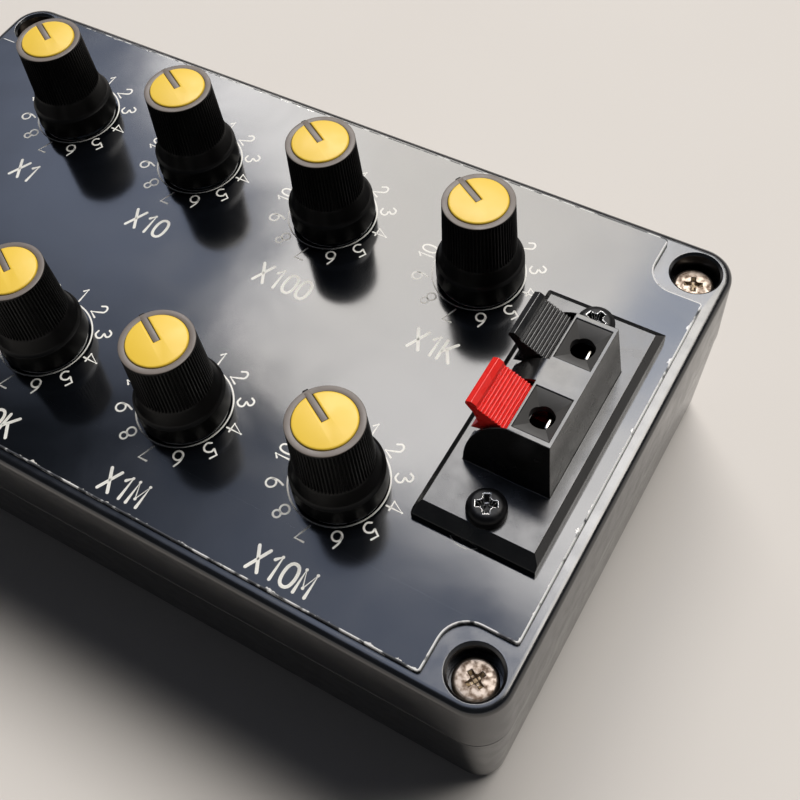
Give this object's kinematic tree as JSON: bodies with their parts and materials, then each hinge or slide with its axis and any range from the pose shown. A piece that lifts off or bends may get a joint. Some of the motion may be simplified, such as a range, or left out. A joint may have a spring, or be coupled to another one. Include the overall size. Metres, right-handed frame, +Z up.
{
  "type": "decade resistance box",
  "caption": "Bench resistance box: a flat black case with two rows of ribbed stepped dials on a glossy engraved panel and a two-way spring push terminal at one end.",
  "frame": {"origin": "middle of the base's underside, on the surface that the box stands on", "axes": "+Z up out of the panel, +X along the case to the terminal's end, +Y from the front row of dials to the back row"},
  "size_m": [0.158, 0.09, 0.0593],
  "materials": {
    "case_plastic": "glossy moulded black ABS",
    "panel_laminate": "mirror-gloss black engraving laminate with a white core",
    "knob_plastic": "satin black moulded plastic",
    "cap_yellow": "smooth yellow plastic insert",
    "shaft_metal": "turned metal",
    "switch_phenolic": "brown moulded phenolic",
    "resistor_film": "pale blue lacquer",
    "screw_nickel": "worn nickel plate",
    "zinc_steel": "bright zinc plate",
    "lug_brass": "tinned brass",
    "terminal_plastic": "semi-gloss moulded black plastic",
    "lever_red_plastic": "glossy moulded red plastic",
    "lever_black_plastic": "glossy moulded black plastic",
    "contact_metal": "nickel-plated spring strip",
    "screw_black": "black-oxide steel",
    "wire_red": "PVC insulation",
    "wire_blue": "PVC insulation"
  },
  "bodies": {
    "case": {"base_shell": "case_plastic", "lid": "case_plastic", "front_panel": "panel_laminate", "lid_screws": "screw_nickel", "switch_body_x1": "switch_phenolic", "switch_body_x10": "switch_phenolic", "switch_body_x100": "switch_phenolic", "switch_body_x1k": "switch_phenolic", "switch_body_x10k": "switch_phenolic", "switch_body_x100k": "switch_phenolic", "switch_body_x1m": "switch_phenolic", "switch_body_x10m": "switch_phenolic", "resistors_x1": "resistor_film", "resistors_x10": "resistor_film", "resistors_x100": "resistor_film", "resistors_x1k": "resistor_film", "resistors_x10k": "resistor_film", "resistors_x100k": "resistor_film", "resistors_x1m": "resistor_film", "resistors_x10m": "resistor_film", "switch_frames": "zinc_steel", "switch_washers": "zinc_steel", "switch_nuts": "zinc_steel", "switch_lugs": "lug_brass", "terminal_housing": "terminal_plastic", "contact_red": "contact_metal", "contact_black": "contact_metal", "terminal_screws": "screw_black", "terminal_washers": "zinc_steel", "terminal_nuts": "zinc_steel", "link_wires": "wire_red", "terminal_leads": "wire_blue"},
    "dial_x1": {"knob_x1": "knob_plastic", "knob_cap_x1": "cap_yellow", "rotor_shaft_x1": "shaft_metal"},
    "dial_x10": {"knob_x10": "knob_plastic", "knob_cap_x10": "cap_yellow", "rotor_shaft_x10": "shaft_metal"},
    "dial_x100": {"knob_x100": "knob_plastic", "knob_cap_x100": "cap_yellow", "rotor_shaft_x100": "shaft_metal"},
    "dial_x1k": {"knob_x1k": "knob_plastic", "knob_cap_x1k": "cap_yellow", "rotor_shaft_x1k": "shaft_metal"},
    "dial_x10k": {"knob_x10k": "knob_plastic", "knob_cap_x10k": "cap_yellow", "rotor_shaft_x10k": "shaft_metal"},
    "dial_x100k": {"knob_x100k": "knob_plastic", "knob_cap_x100k": "cap_yellow", "rotor_shaft_x100k": "shaft_metal"},
    "dial_x1m": {"knob_x1m": "knob_plastic", "knob_cap_x1m": "cap_yellow", "rotor_shaft_x1m": "shaft_metal"},
    "dial_x10m": {"knob_x10m": "knob_plastic", "knob_cap_x10m": "cap_yellow", "rotor_shaft_x10m": "shaft_metal"},
    "push_red": {"lever_red": "lever_red_plastic"},
    "push_black": {"lever_black": "lever_black_plastic"}
  },
  "joints": [
    {"name": "turn_x1", "type": "hinge", "parent": "case", "child": "dial_x1", "pos_m": [-0.0468, 0.022, 0.0408], "axis": [0, 0, 1], "range_deg": [-330, 0]},
    {"name": "turn_x10", "type": "hinge", "parent": "case", "child": "dial_x10", "pos_m": [-0.0174, 0.022, 0.0408], "axis": [0, 0, 1], "range_deg": [-330, 0]},
    {"name": "turn_x100", "type": "hinge", "parent": "case", "child": "dial_x100", "pos_m": [0.012, 0.022, 0.0408], "axis": [0, 0, 1], "range_deg": [-330, 0]},
    {"name": "turn_x1k", "type": "hinge", "parent": "case", "child": "dial_x1k", "pos_m": [0.0414, 0.022, 0.0408], "axis": [0, 0, 1], "range_deg": [-330, 0]},
    {"name": "turn_x10k", "type": "hinge", "parent": "case", "child": "dial_x10k", "pos_m": [-0.0468, -0.023, 0.0408], "axis": [0, 0, 1], "range_deg": [-330, 0]},
    {"name": "turn_x100k", "type": "hinge", "parent": "case", "child": "dial_x100k", "pos_m": [-0.0174, -0.023, 0.0408], "axis": [0, 0, 1], "range_deg": [-330, 0]},
    {"name": "turn_x1m", "type": "hinge", "parent": "case", "child": "dial_x1m", "pos_m": [0.012, -0.023, 0.0408], "axis": [0, 0, 1], "range_deg": [-330, 0]},
    {"name": "turn_x10m", "type": "hinge", "parent": "case", "child": "dial_x10m", "pos_m": [0.0414, -0.023, 0.0408], "axis": [0, 0, 1], "range_deg": [-330, 0]},
    {"name": "press_red", "type": "hinge", "parent": "case", "child": "push_red", "pos_m": [0.0632, -0.0063, 0.045], "axis": [0, -1, 0], "range_deg": [0, 15], "stiffness_Nm_per_rad": 0.06, "springref_deg": -8.59, "deforming": ["contact_red"]},
    {"name": "press_black", "type": "hinge", "parent": "case", "child": "push_black", "pos_m": [0.0632, 0.0069, 0.045], "axis": [0, -1, 0], "range_deg": [0, 15], "stiffness_Nm_per_rad": 0.06, "springref_deg": -8.59, "deforming": ["contact_black"]}
  ]
}
